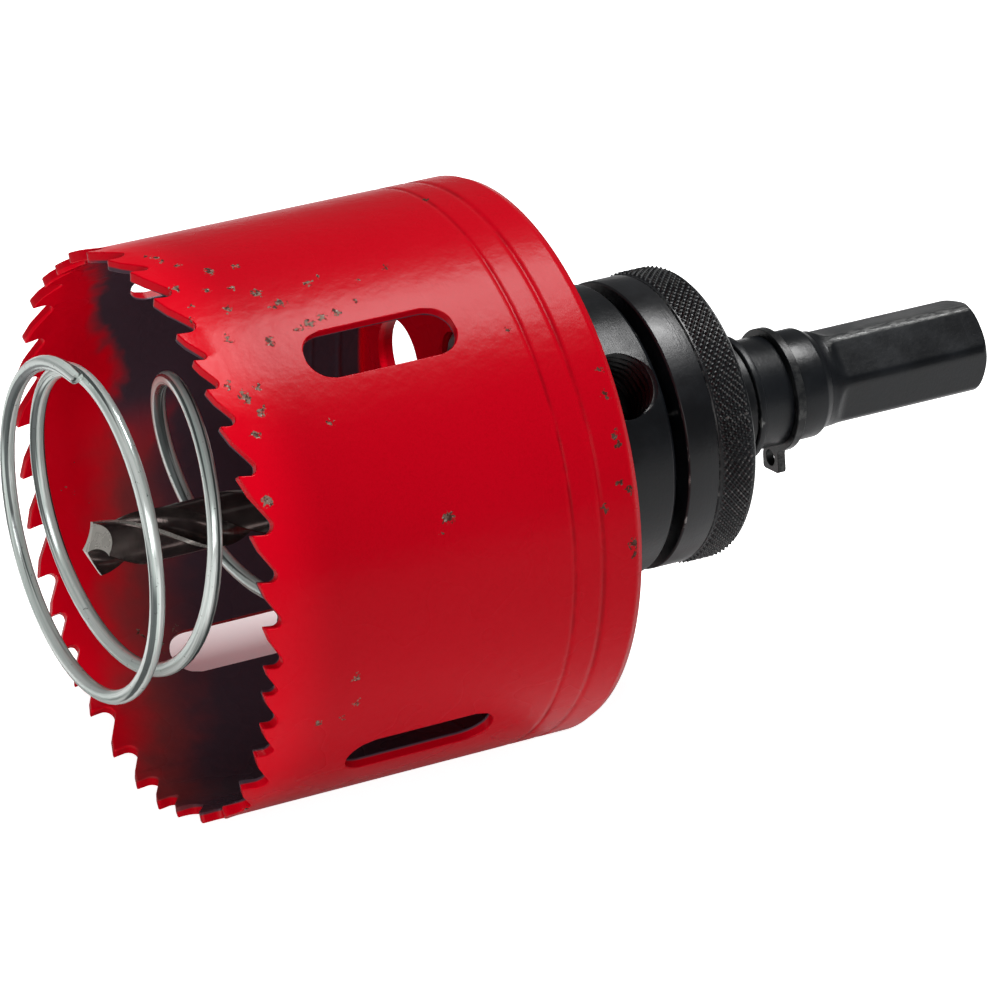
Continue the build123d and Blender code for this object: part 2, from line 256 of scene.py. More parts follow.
# Chips in the band's paint as they were found: azimuth, station and radius in millimetres.
CHIPS = (
    (174.5, 4.0, 0.4), (176.5, 4.4, 0.4), (178.5, 4.7, 0.45), (182, 5.7, 0.45), (190, 3.2, 0.6),
    (186.5, 8.4, 0.65), (186.5, 11.6, 0.4), (192.5, 6.4, 0.4), (193.5, 9.3, 0.5),
    (196.5, 11.5, 0.7), (200.5, 13.4, 0.6), (199, 7, 0.5), (196, 3.5, 0.35), (199.5, 2.3, 0.4),
    (207.5, 13.6, 0.5), (207, 15.3, 0.6), (206, 17.1, 0.6), (205.5, 19, 0.5), (196.5, 18, 0.5),
    (195.5, 19.5, 0.35), (201, 12.5, 0.5), (199, 23.6, 0.35), (197, 27.8, 0.35), (204, 22, 0.35),
    (206, 5.3, 0.5), (209, 9.7, 0.6), (216.5, 2.6, 0.5), (218, 5.9, 0.5), (219.5, 4, 0.75),
    (223, 5.2, 0.6), (227.5, 3.6, 0.5), (240, 2.5, 0.7), (228.5, 12.7, 0.35), (218, 37.9, 0.35),
    (176, 39.5, 0.4), (230, 47, 0.4), (235, 46.8, 0.4), (243, 46.7, 0.5), (245, 46.8, 0.4),
    (252, 46.2, 0.4), (254, 47.2, 0.4), (265, 47.3, 0.6), (267, 47.4, 0.5), (289, 7.2, 0.45),
    (289, 10.2, 0.35), (279.5, 11.5, 0.4), (286, 11.8, 0.4), (319, 2.7, 0.4), (251.1, 23.9, 0.75),
    (253.4, 22.9, 0.35), (256.6, 43.9, 0.45),
)

CHIP_RAGGED = 0.0016                   # metres that noise moves an edge

# Rougher stretches on the sides that the photograph does not show: azimuth, station, reach.
WORN_PATCHES = ((150, 6, 8), (40, 12, 9), (75, 5, 8), (110, 30, 8), (330, 44, 8), (20, 40, 9),
                (120, 46, 7))

# The plane at which the painted shade inside the cup begins, in millimetres along each of the
# frame's axes.
SHADE_PLANE = (1000, -434, 87)


def paint_chips(g):
    """Where the paint is off: ragged discs where they were found, and scattered ones elsewhere."""
    ragged = g.vector("SUBTRACT", g.noise(1300, 3, 0.6, output="Color"), (0.5, 0.5, 0.5))
    place = g.vector("ADD", g.place, g.vector("MULTIPLY", ragged, (CHIP_RAGGED,) * 3))
    found = -1.0
    for azimuth, z, radius in CHIPS:
        away = g.vector("DISTANCE", place, to_row(polar(CUP_R, azimuth, z)), "Value")
        found = g.math("MAXIMUM", found, g.math("SUBTRACT", radius / 1000, away))
    found = g.math("ADD", found, g.ramp(g.noise(2400, 3, 0.6), 0.3, 0.7, -0.0003, 0.0003))
    worn = 0.0
    for azimuth, z, reach in WORN_PATCHES:
        worn = g.math("MAXIMUM", worn, g.near(polar(CUP_R, azimuth, z), reach))
    mask = g.math("ADD", g.times(g.noise(900, 4, 0.62, distortion=0.4), 0.62),
                  g.times(g.noise(330, 3, 0.6), 0.38))
    mask = g.math("ADD", mask, g.times(worn, 0.16))
    return g.math("MAXIMUM", g.ramp(found, 0.0, 0.00014), g.ramp(mask, 0.715, 0.730))


def painted_shade_inside(g, base, inside):
    """Painted shade inside the cup: near the mouth it is red, further in it is painted dark for the
    shadow that the rim casts.

    The depth at which it turns is a slanting plane, with a soft edge below and a sharp one above.
    """
    depth = g.vector("DOT_PRODUCT", g.place, SHADE_PLANE, "Value")
    depth = g.math("ADD", depth, g.ramp(g.noise(120, 3, 0.6), 0.3, 0.7, -1.5, 1.5))
    lower = g.ramp(g.along("Z"), 0.002, -0.010)
    before_cap = g.ramp(g.along("X"), x_of(46.5), x_of(45.8))
    soft_shade = g.times(g.ramp(depth, -122.5, -113.5), inside, lower, before_cap)
    sharp = g.times(g.ramp(depth, -117.2, -113.8), g.math("SUBTRACT", 1.0, lower))
    deep_shade = g.math("MAXIMUM", g.ramp(depth, -115.5, -106.0), sharp)
    # The painted shade's colours: a brownish red at the soft lower edge, then a dark brownish grey.
    base = g.mix(soft_shade, base, colour(140, 56, 58))
    return g.mix(g.times(deep_shade, inside, before_cap), base, colour(74, 56, 66))


def red_paint():
    g = Graph("red_enamel")
    base = g.mix(g.ramp(g.noise(26, 1), 0.35, 0.7), colour(173, 0, 19), colour(179, 0, 21))
    base = g.mix(g.ramp(g.noise(2600, 3, 0.6), 0.45, 0.75, 0.0, 0.25), base, colour(150, 0, 8))
    # The teeth and the inside are painted a brighter red: painted light, where the lamps shine into
    # the mouth.
    station = g.along("X")
    inside = g.ramp(g.radius(), (CUP_R - 0.85) / 1000, (CUP_R - 1.1) / 1000)
    lit_red = g.times(inside, g.ramp(station, x_of(47.8), x_of(47.2)))
    lit_red = g.math("MAXIMUM", lit_red, g.ramp(station, x_of(10), x_of(1), 0.0, 0.45))
    base = painted_shade_inside(g, g.mix(lit_red, base, colour(238, 0, 30)), inside)
    # Along the middle of each pressed groove a dark red stripe is painted: painted shade in the
    # groove.
    for z, _, half in PRESS_LINES:
        groove_shade = g.math("ABSOLUTE", g.math("SUBTRACT", station, x_of(z + 0.1)))
        groove_shade = g.times(g.ramp(groove_shade, 1.1 * half / 1000, 0.2 * half / 1000, 0.0, 0.4),
                       g.ramp(g.noise(210, 3, 0.6), 0.35, 0.62))
        base = g.mix(groove_shade, base, colour(96, 4, 12))
    # Bare steel shows in the chips near the teeth, and rust in those further back.
    rust = g.mix(g.ramp(g.noise(1900, 3, 0.6), 0.42, 0.58), colour(66, 38, 33),
                 colour(124, 104, 92))
    rust = g.mix(g.ramp(g.noise(3000, 2), 0.62, 0.70), rust, colour(176, 160, 150))
    rust = g.mix(g.ramp(station, x_of(19), x_of(28), 0.0, 0.8), rust, colour(62, 28, 22))
    chip = paint_chips(g)
    roughness = g.ramp(g.noise(90, 2), 0.3, 0.7, 0.26, 0.29)
    g.set(Base_Color=g.mix(chip, base, rust), Specular_IOR_Level=0.07,
          Roughness=g.math("ADD", g.times(chip, 0.3), roughness))
    peel = g.bump(g.noise(520, 2, 0.5), 0.10, 0.0006)
    dust = g.bump(g.noise(3200, 2, 0.5), 0.05, 0.0002, peel)
    g.set(Normal=g.bump(g.math("SUBTRACT", 1.0, chip), 0.5, 0.00006, dust))
    return g.material


def rubbed_and_lit_corner(g):
    """How far the hexagon's upper corner shows steel: partly chuck wear, partly a painted highlight,
    as only the corner on top gets it.
    """
    radius = g.radius()
    marks = g.grain((900.0, 3800.0, 3800.0), 4, 0.65)
    return g.times(g.ramp(radius, (HEX_ROUND_R - 0.16) / 1000, (HEX_ROUND_R - 0.05) / 1000),
                   g.ramp(radius, (HEX_ROUND_R + 0.4) / 1000, (HEX_ROUND_R + 0.3) / 1000),
                   g.ramp(g.along("X"), x_of(HEX_START_Z + 0.6), x_of(HEX_START_Z + 1.6)),
                   g.ramp(g.along("Z"), 0.0040, 0.0052), g.ramp(marks, 0.40, 0.62, 0.05, 0.36))


def painted_hole_shade(g):
    """1 down the collar's cross hole, which is painted near black: painted shade in the recess."""
    away = g.vector("SUBTRACT", g.place, to_row((0, 0, SCREW_Z)))
    out = direction_to_row(polar(1.0, SCREW_AZIMUTH, 0.0))
    height = g.vector("DOT_PRODUCT", away, out, "Value")
    reach = g.vector("LENGTH", g.vector("CROSS_PRODUCT", away, out), output="Value")
    return g.times(g.ramp(reach, 0.0050, 0.0047), g.ramp(height, 0.0172, 0.0150))


def black_oxide(name, base=(8, 10, 13), worn_amount=0.5, lathed=True, shine=0.26):
    """Black steel with worn edges, with or without the rings that turning leaves."""
    g = Graph(name)
    cloud = g.noise(150, 4, 0.6)
    body = g.mix(g.ramp(cloud, 0.35, 0.7), colour(*base),
                 colour(base[0] + 6, base[1] + 7, base[2] + 8))
    edge = g.ramp(g.add("ShaderNodeNewGeometry").outputs["Pointiness"], 0.53, 0.60)
    wear_and_highlight = g.times(edge, g.ramp(g.noise(900, 4, 0.7), 0.44, 0.60), worn_amount)
    # Worn edges, with the upper hexagon corner's chuck wear and painted highlight.
    wear_and_highlight = g.math("MAXIMUM", wear_and_highlight, rubbed_and_lit_corner(g))
    # Painted shade down the cross hole: no steel shows there, and the colour turns near black.
    hole_shade = painted_hole_shade(g)
    wear_and_highlight = g.times(wear_and_highlight, g.math("SUBTRACT", 1.0, hole_shade))
    body = g.mix(wear_and_highlight, g.mix(hole_shade, body, colour(2, 2, 3)), colour(150, 150, 148))
    g.set(Base_Color=body, Metallic=g.ramp(wear_and_highlight, 0.1, 0.6, 0.0, 0.9),
          Roughness=g.ramp(cloud, 0.3, 0.75, 0.28, 0.42), Specular_IOR_Level=shine)
    normal = g.bump(g.noise(1700, 3, 0.6), 0.10, 0.0002)
    if lathed:
        normal = g.bump(g.grain((5200.0, 14.0, 14.0), 2, 0.6), 0.10, 0.00012, normal)
    g.set(Normal=normal)
    return g.material


def zinc_wire():
    """Bright plated wire, with dark streaks along it: partly drawing lines, partly painted dark
    reflections.
    """
    g = Graph("zinc_plated_wire")
    drawn = g.add("ShaderNodeAttribute", attribute_name="unrolled").outputs["Vector"]
    # The dark streaks stand partly for drawing lines and partly for painted dark reflections along
    # the wire.
    lines = g.grain((1150.0, 1150.0, 22.0), 2, 0.5, drawn)
    fine = g.grain((2600.0, 2600.0, 60.0), 3, 0.6, drawn)
    base = g.mix(g.ramp(fine, 0.35, 0.7), colour(240, 246, 242), colour(200, 214, 208))
    base = g.mix(g.ramp(lines, 0.52, 0.60, 0.0, 0.9), base, colour(46, 54, 55))
    spots = g.ramp(g.noise(1500, 3, 0.65), 0.66, 0.72, 0.0, 0.7)
    base = g.mix(spots, base, colour(52, 50, 48))
    g.set(Base_Color=base, Metallic=0.35, Roughness=g.ramp(fine, 0.3, 0.7, 0.14, 0.24),
          Specular_IOR_Level=0.6, Normal=g.bump(fine, 0.10, 0.00015))
    return g.material


def plain_steel(name, dark, light, metallic, roughness, clouds, grind, strength):
    """Bare steel with soft clouds and the marks of grinding."""
    g = Graph(name)
    cloud = g.noise(*clouds, 0.6)
    base = g.mix(g.ramp(cloud, 0.3, 0.7), colour(*dark), colour(*light))
    g.set(Base_Color=base, Metallic=metallic, Roughness=g.ramp(cloud, 0.3, 0.7, *roughness),
          Normal=g.bump(g.grain(grind, 2, 0.6), strength, 0.00012))
    return g.material


def drill_steel():
    return plain_steel("high_speed_steel", (104, 92, 90), (128, 116, 112), 0.85, (0.18, 0.25),
                       (420, 4), (2600.0, 500.0, 500.0), 0.12)


def ground_steel(name="ground_steel", shade=(200, 196, 188), roughness=(0.24, 0.34)):
    return plain_steel(name, shade, [v + 18 for v in shade], 0.6, roughness, (500, 3),
                       (700.0, 5200.0, 700.0), 0.15)


# ---- meshes ----

def new_object(name, data):
    obj = bpy.data.objects.new(name, data)
    bpy.context.scene.collection.objects.link(obj)
    return obj


def finish_piece(node, mesh, materials, body):
    """Puts a fine mesh in the place of the frame's node of that name."""
    obj = new_object(node + "_fine", mesh)
    for material in materials:
        mesh.materials.append(material)
    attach(obj, body)
    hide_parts(node)
    return obj


def smooth(mesh, angle=32.0):
    mesh.shade_smooth()
    mesh.set_sharp_from_angle(angle=math.radians(angle))


def mesh_of(name, points, faces, angle=32.0):
    """A mesh from tool-coordinate points, with its faces turned outwards."""
    mesh = bpy.data.meshes.new(name)
    mesh.from_pydata([to_row(p) for p in points], [], faces)
    bm = bmesh.new()
    bm.from_mesh(mesh)
    bmesh.ops.remove_doubles(bm, verts=bm.verts, dist=2e-7)
    bmesh.ops.recalc_face_normals(bm, faces=bm.faces)
    bm.to_mesh(mesh)
    bm.free()
    smooth(mesh, angle)
    return mesh


def rounded(outline, radius):
    """A closed (r, z) outline with its corners rounded; a point may carry its own radius."""
    points = []
    count = len(outline)
    for k in range(count):
        before, here, after = (Vector(outline[(k + d) % count][:2]) for d in (-1, 0, 1))
        r = outline[k][2] if len(outline[k]) > 2 else radius
        u, v = (before - here), (after - here)
        angle = u.angle(v) if u.length and v.length else math.pi
        if r <= 0 or angle > math.radians(176):
            points.append(tuple(here))
            continue
        back = min(r / math.tan(angle / 2), 0.45 * u.length, 0.45 * v.length)
        a, b = here + u.normalized() * back, here + v.normalized() * back
        for t in (0, 1 / 3, 2 / 3, 1):
            points.append(tuple((1 - t) ** 2 * a + 2 * t * (1 - t) * here + t ** 2 * b))
    return points


def quads(first, second, count):
    """The faces between two closed rings of count points each, from where each ring begins."""
    return [(first + k, first + (k + 1) % count, second + (k + 1) % count, second + k)
            for k in range(count)]


def tube(rows, count):
    """The faces of a row of closed rings of count points, from each ring to the next."""
    return [face for j in range(rows) for face in quads(j * count, (j + 1) * count, count)]


def lathe(outline, columns=192, radius_at=lambda r, azimuth, z: r):
    """Points and faces of a closed (r, z) outline turned about the tool axis.

    columns is how many there are, evenly spaced, or the list of their azimuths.
    """
    if isinstance(columns, int):
        columns = [360 * c / columns for c in range(columns)]
    points = [polar(radius_at(r, a, z), a, z) for r, z in outline for a in columns]
    faces = []
    for i in range(len(outline)):
        j = (i + 1) % len(outline)
        if outline[i][0] >= 1e-6 or outline[j][0] >= 1e-6:
            faces += quads(i * len(columns), j * len(columns), len(columns))
    return points, faces


def arc(radius, start, stop, count):
    """Points round the tool axis, between two angles in radians."""
    return [(radius * math.cos(t), radius * math.sin(t)) for t in np.linspace(start, stop, count)]


def moved(points, centre):
    return [(p[0] + centre[0], p[1] + centre[1], *p[2:]) for p in points]


def turned(points, angle):
    """Points turned about the tool axis, by an angle in radians."""
    c, s = math.cos(angle), math.sin(angle)
    return [(p[0] * c - p[1] * s, p[0] * s + p[1] * c, *p[2:]) for p in points]


def rod(radius, z0, z1, centre=(0.0, 0.0), columns=64):
    points, faces = lathe([(0, z0), (radius, z0), (radius, z1), (0, z1)], columns)
    return moved(points, centre), faces


def hole(radius, z0, z1, centre, columns=64):
    """A cutter that reaches a millimetre past both faces."""
    return mesh_of("hole", *rod(radius, z0 - 1, z1 + 1, centre, columns))


def carve(obj, cutters):
    """Takes the cutter meshes out of obj and drops them."""
    for k, mesh in enumerate(cutters):
        cutter = new_object(f"cutter_{k}", mesh)
        modifier = obj.modifiers.new("cut", "BOOLEAN")
        modifier.operation = "DIFFERENCE"
        modifier.solver = "EXACT"
        modifier.object = cutter
        bpy.context.view_layer.update()
        depsgraph = bpy.context.evaluated_depsgraph_get()
        result = bpy.data.meshes.new_from_object(obj.evaluated_get(depsgraph))
        obj.modifiers.clear()
        name = obj.data.name
        obj.data.name = name + "_before"
        obj.data = result
        result.name = name
        bpy.data.objects.remove(cutter)
    smooth(obj.data)


def pin_centres():
    return [spot(PIN_CIRCLE_R, PIN_AZIMUTH + turn) for turn in (0, 180)]


# ---- the cup ----

def tooth_places():
    """The azimuth of each tooth's tip, and the turn in degrees to the next."""
    around = sum(TOOTH_PITCHES)
    places, travelled = [], 0.0
    for pitch in TOOTH_PITCHES:
        places.append((FIRST_TOOTH_AZIMUTH + 360 * travelled / around, 360 * pitch / around))
        travelled += pitch
    return places


def tooth_profile(chord):
    """One tooth as (x, y) points: a land, a straight back, a round gullet and a raked face."""
    rake = math.radians(TOOTH_RAKE)
    depth, radius = GULLET_DEPTH_SHARE * chord, GULLET_RADIUS_SHARE * chord
    cy = depth - radius
    cx = chord + cy * math.tan(rake) - radius / math.cos(rake)
    heel_x = TOOTH_BACK_SHARE * chord
    heel_y = (heel_x - TOOTH_LAND) * math.tan(math.radians(TOOTH_RELIEF))
    to_heel = math.hypot(heel_y - cy, heel_x - cx)
    start = math.atan2(heel_y - cy, heel_x - cx) - math.acos(radius / to_heel)
    while start < -rake:
        start += 2 * math.pi

    def between(p, q):
        return [(p[0] + (q[0] - p[0]) * t, p[1] + (q[1] - p[1]) * t) for t in (0.33, 0.67)]

    land, heel = (TOOTH_LAND, 0), (heel_x, heel_y)
    gullet = moved(arc(radius, start, -rake, GULLET_STEPS + 1), (cx, cy))
    return [(0, 0), land, *between(land, heel), heel, *between(heel, gullet[0]), *gullet,
            *between(gullet[-1], (chord, 0))]


def tooth_outline():
    """The toothed edge as (azimuth, z) points, once round."""
    points = []
    for tip, turn in tooth_places():
        chord = 2 * CUP_R * math.sin(math.radians(turn / 2))
        points += [(tip + turn / 2 + math.degrees(math.asin((x - chord / 2) / CUP_R)), y)
                   for x, y in tooth_profile(chord)]
    # The seam lies part of the way down a tooth's back, where a straight cut meets nothing else.
    return points[3:] + [(a + 360, z) for a, z in points[:3]]


def slot_outline(azimuth):
    """A slot as (azimuth, z) points, going round it once."""
    half, r = SLOT_LENGTH / 2 - SLOT_WIDTH / 2, SLOT_WIDTH / 2
    flat = []
    for end in (1, -1):
        flat += moved(arc(end * r, 0, math.pi, 17), (0, SLOT_CENTRE_Z + end * half))
        flat += [(-end * r, SLOT_CENTRE_Z + end * half * (1 - 2 * t)) for t in (0.2, 0.4, 0.6, 0.8)]
    return [(azimuth + math.degrees(math.asin(x / CUP_R)), z) for x, z in reversed(flat)]


RIM_DEGREE = math.radians(1) * CUP_R   # millimetres of rim in a degree
BAND_LENGTH = 360 * RIM_DEGREE
EDGE = 0.16                            # rounding of the painted edges
EDGE_STEPS = 3
RIM_COLUMNS = 288
GRID_CLEARANCE = 0.34
# Stations of the wall's rows of points, close together at the teeth and the press lines.
GRID_STATIONS = (
    0.9, 1.7, 2.5, 3.5, 4.6, 6.0, 7.6, 9.4, 11.4, 14, 16.5, 19, 21.5, 24, 26.5, 29, 31.5, 34, 36.2,
    37.6, 38.5, 38.8, 39.1, 39.3, 39.5, 39.7, 39.9, 40.2, 40.6, 41.4, 42.2, 42.6, 42.9, 43.1, 43.3,
    43.5, 43.7, 44.0, 44.5, 45.3, 46.4, 47.4)
TIPS = np.array([tip for tip, _ in tooth_places()])
SETS = np.array([TOOTH_SETS[k % 3] for k in range(len(TIPS))])


def wall_offset(azimuth, z):
    """How far the wall stands out of the plain cylinder: tooth set and the two press lines."""
    turned_to = (azimuth - TIPS[0]) % 360 + TIPS[0] + TOOTH_SET_LEAD
    k = np.searchsorted(TIPS, turned_to, side="right") - 1
    away = np.clip((TOOTH_SET_Z[1] - z) / (TOOTH_SET_Z[1] - TOOTH_SET_Z[0]), 0, 1)
    offset = SETS[k] * away * away * (3 - 2 * away)
    for centre, depth, half in PRESS_LINES:
        offset = offset - depth * np.exp(-((z - centre) / half) ** 2)
    return offset


def band_outlines():
    """The unrolled band's six outlines: the teeth, four slots and the rear edge.

    Gives their points as (distance round, z), the numbers of each outline's points, and at each
    point the outward normal with how much a mitre lengthens it.
    """
    loops = [tooth_outline()] + [slot_outline(azimuth) for azimuth in SLOT_AZIMUTHS]
    seam = loops[0][0][0]
    loops.append([(seam + 360 * (1 - k / RIM_COLUMNS), CUP_LENGTH) for k in range(RIM_COLUMNS)])
    flat, rings, outward = [], [], []
    for number, loop in enumerate(loops):
        p = np.array([(a * RIM_DEGREE, z) for a, z in loop])
        wrap = np.array([BAND_LENGTH, 0]) * {0: 1, 5: -1}.get(number, 0)
        before = np.vstack([p[-1] - wrap, p[:-1]])
        after = np.vstack([p[1:], p[0] + wrap])
        sides = []
        for d in (p - before, after - p):
            d = d / np.linalg.norm(d, axis=1)[:, None]
            sides.append(np.stack([d[:, 1], -d[:, 0]], 1))
        n = sides[0] + sides[1]
        n /= np.linalg.norm(n, axis=1)[:, None]
        mitre = np.clip(1 / np.maximum((n * sides[0]).sum(1), 0.5), 1, 1.6)
        rings.append(list(range(len(flat), len(flat) + len(p))))
        flat += [tuple(q) for q in p]
        outward += [(nx, nz, m) for (nx, nz), m in zip(n, mitre)]
    return np.array(flat), rings, np.array(outward)


def sheet_grid(inset, teeth):
    """Points all over the unrolled wall that keep clear of its outlines."""
    left = inset[0][0]
    grid = np.array([(left + BAND_LENGTH * (k + 0.5) / RIM_COLUMNS, z)
                     for z in GRID_STATIONS for k in range(RIM_COLUMNS)])
    keep = above_edge(grid, teeth)
    for azimuth in SLOT_AZIMUTHS:
        keep &= ~in_slot(grid, azimuth * RIM_DEGREE, 0.3)
    for start in range(0, len(grid), 2000):
        part = grid[start:start + 2000]
        away = np.abs(part[:, None, 0] - inset[None, :, 0])
        away = np.minimum(away, BAND_LENGTH - away)
        gap = np.hypot(away, part[:, None, 1] - inset[None, :, 1]).min(1)
        keep[start:start + 2000] &= gap > GRID_CLEARANCE
    return grid[keep]


def band_sheet(inset, rings, teeth):
    """The unrolled wall as points and triangles."""
    # Copies of the two open outlines' first points close the sheet at its seam.
    count = len(inset)
    seam = [inset[rings[0][0]] + (BAND_LENGTH, 0), inset[rings[5][0]] - (BAND_LENGTH, 0)]
    points = [Vector(p) for p in (*inset, *seam, *sheet_grid(inset, teeth))]
    bottom, top = rings[0] + [count], rings[5] + [count + 1]
    edges = [*zip(bottom, bottom[1:]), *zip(top, top[1:]),
             (bottom[-1], top[0]), (top[-1], bottom[0])]
    for ring in rings[1:5]:
        edges += zip(ring, ring[1:] + ring[:1])
    result = geometry.delaunay_2d_cdt(points, edges, [], 1, 1e-6)
    verts, tris = np.array([tuple(v) for v in result[0]]), result[2]
    if len(verts) != len(points):
        raise ValueError(f"band sheet: {len(points)} points became {len(verts)}")
    centre = np.array([verts[list(t)].mean(0) for t in tris])
    good = above_edge(centre, teeth)
    for azimuth in SLOT_AZIMUTHS:
        good &= ~in_slot(centre, azimuth * RIM_DEGREE, 0.02)
    return verts, [tuple(t) for t, g in zip(tris, good) if g]


def band_mesh():
    """The rolled-up band: outer and inner sheets and the rounded rim between, with its normals."""
    flat, rings, outward = band_outlines()
    normal, mitre = outward[:, :2], outward[:, 2]
    inset = flat - normal * (EDGE * mitre)[:, None]
    verts, tris = band_sheet(inset, rings, inset[rings[0]])
    count, total = len(inset), len(verts)
    # place is distance round, z and depth below the outer face; lie is the normal there.
    place, lie = [], []
    for depth, facing in ((0.0, 1.0), (WALL, -1.0)):
        place += [(s, z, depth) for s, z in verts]
        lie += [(0.0, 0.0, facing)] * total
    faces = tris + [tuple(v + total for v in reversed(t)) for t in tris]
    # From the outer sheet to the inner, each level of the rim is an inset, a depth and an angle.
    angles = [math.pi / 2 * k / EDGE_STEPS for k in range(1, EDGE_STEPS + 1)]
    levels = [(EDGE * (1 - math.sin(a)), EDGE * (1 - math.cos(a)), a) for a in angles]
    levels += [(e, WALL - d, math.pi - a) for e, d, a in reversed(levels)]
    for e, d, a in levels:
        for i in range(count):
            p = flat[i] - normal[i] * e * mitre[i]
            place.append((p[0], p[1], d))
            lie.append((normal[i][0] * math.sin(a), normal[i][1] * math.sin(a), math.cos(a)))
    starts = [0] + [2 * total + level * count for level in range(len(levels))] + [total]
    for ring in rings:
        for i, j in zip(ring, ring[1:] + ring[:1]):
            faces += [(one + i, one + j, two + j, two + i) for one, two in zip(starts, starts[1:])]
    # Seam copies are the first points again.
    same = {copy + sheet: rings[ring][0] + sheet
            for copy, ring in ((count, 0), (count + 1, 5)) for sheet in (0, total)}
    faces = [tuple(same.get(v, v) for v in f) for f in faces]
    co, n = rolled_up(np.array(place), np.array(lie))
    faces = [f if faces_out(co[list(f)], n[list(f)]) else f[::-1] for f in faces]
    # Points that no face uses are left out.
    used = sorted({v for f in faces for v in f})
    number = {v: k for k, v in enumerate(used)}
    mesh = bpy.data.meshes.new("saw_band")
    mesh.from_pydata([to_row(co[v]) for v in used], [], [[number[v] for v in f] for f in faces])
    mesh.shade_smooth()
    mesh.normals_split_custom_set_from_vertices([direction_to_row(n[v]) for v in used])
    return mesh


def rolled_up(place, lie):
    """Unrolled places and normals taken to the cup, with tooth set, press lines and rear fillet."""
    azimuth, z = place[:, 0] / RIM_DEGREE, place[:, 1]
    step = 0.05
    slope = (wall_offset(azimuth, z + step) - wall_offset(azimuth, z - step)) / (2 * step)
    # The rear corner falls away by a 1 mm fillet, on the outer side alone.
    outer = place[:, 2] < WALL * 0.5
    into = np.clip((z - (CUP_LENGTH - REAR_FILLET)) / REAR_FILLET, 0, 1)
    across = np.sqrt(1 - into ** 2)
    r = CUP_R - place[:, 2] + wall_offset(azimuth, z)
    r -= np.where(outer, np.minimum(1.0 - across, 0.85), 0.0)
    slope -= np.where(outer, into / np.maximum(across, 0.25), 0.0)
    a = np.radians(azimuth)
    co = np.stack([r * np.cos(a), r * np.sin(a), z], 1)
    radial = np.stack([np.cos(a), np.sin(a), 0 * a], 1)
    tangent = np.stack([-np.sin(a), np.cos(a), 0 * a], 1)
    rise = np.array([0, 0, 1.0]) * (lie[:, 1] - slope * lie[:, 2])[:, None]
    n = tangent * lie[:, :1] + radial * lie[:, 2:3] + rise
    return co, n / np.linalg.norm(n, axis=1)[:, None]


def faces_out(corners, normals):
    """Whether a face's winding agrees with its corners' normals."""
    return np.cross(corners[1] - corners[0], corners[2] - corners[1]) @ normals.sum(0) > 0


def above_edge(points, edge):
    """Whether flat points lie above the toothed edge, by counting how often it passes below."""
    left = edge[0][0]
    s = (points[:, 0] - left) % BAND_LENGTH + left
    count = np.zeros(len(points), int)
    for (x0, z0), (x1, z1) in zip(edge, [*edge[1:], edge[0] + (BAND_LENGTH, 0)]):
        crosses = (x0 <= s) != (x1 <= s)
        with np.errstate(divide="ignore", invalid="ignore"):
            count += crosses & (z0 + (s - x0) / (x1 - x0) * (z1 - z0) < points[:, 1])
    return count % 2 == 1


def in_slot(points, centre, more):
    """Whether flat points lie in the slot at centre, grown all round by more."""
    s = (points[:, 0] - centre + BAND_LENGTH / 2) % BAND_LENGTH - BAND_LENGTH / 2
    beyond = np.maximum(np.abs(points[:, 1] - SLOT_CENTRE_Z) - (SLOT_LENGTH - SLOT_WIDTH) / 2, 0)
    return np.hypot(s, beyond) < SLOT_WIDTH / 2 + more


def build_band(material):
    finish_piece("saw_band", band_mesh(), [material], "arbor")


def build_cap(material):
    outer, front, rear = CUP_R - WALL - 0.02, CAP_FRONT_Z, CUP_LENGTH
    # A shallow groove runs round the rear, where the cap meets the band.
    outline = rounded([
        (CAP_BORE_R, front, 0.25), (outer, front, 0.1), (outer, rear - 0.25, 0.2),
        (outer - 0.73, rear - 0.25, 0.2), (outer - 0.93, rear, 0.2), (CAP_BORE_R, rear, 0.25)], 0.2)
    mesh = mesh_of("back_cap", *lathe(outline))
    obj = finish_piece("back_cap", mesh, [material], "arbor")
    holes = [(PIN_R + 0.2, c) for c in pin_centres()]
    holes += [(radius, spot(r, azimuth)) for r, azimuth, radius in CAP_OPENINGS]
    carve(obj, [hole(radius, front, rear, c) for radius, c in holes])


# ---- the arbor ----

def hex_radius(r, azimuth, z):
    """The round shank's radius, cut down to the hexagon behind HEX_START_Z."""
    if z < HEX_START_Z - 0.01 or r < HEX_APOTHEM * 0.98:
        return r
    turn = (azimuth - HEX_AZIMUTH) % 60 - 30
    sunk = min(1.0, (z - HEX_START_Z) / HEX_RUNOUT)
    cut = HEX_APOTHEM / math.cos(math.radians(turn)) + (1 - sunk) ** 2 * HEX_RUNOUT_DEPTH
    # The corner between the two is a little soft.
    return min(r, cut) - HEX_SOFT * math.exp(-abs(r - cut) / HEX_SOFT) * 0.5


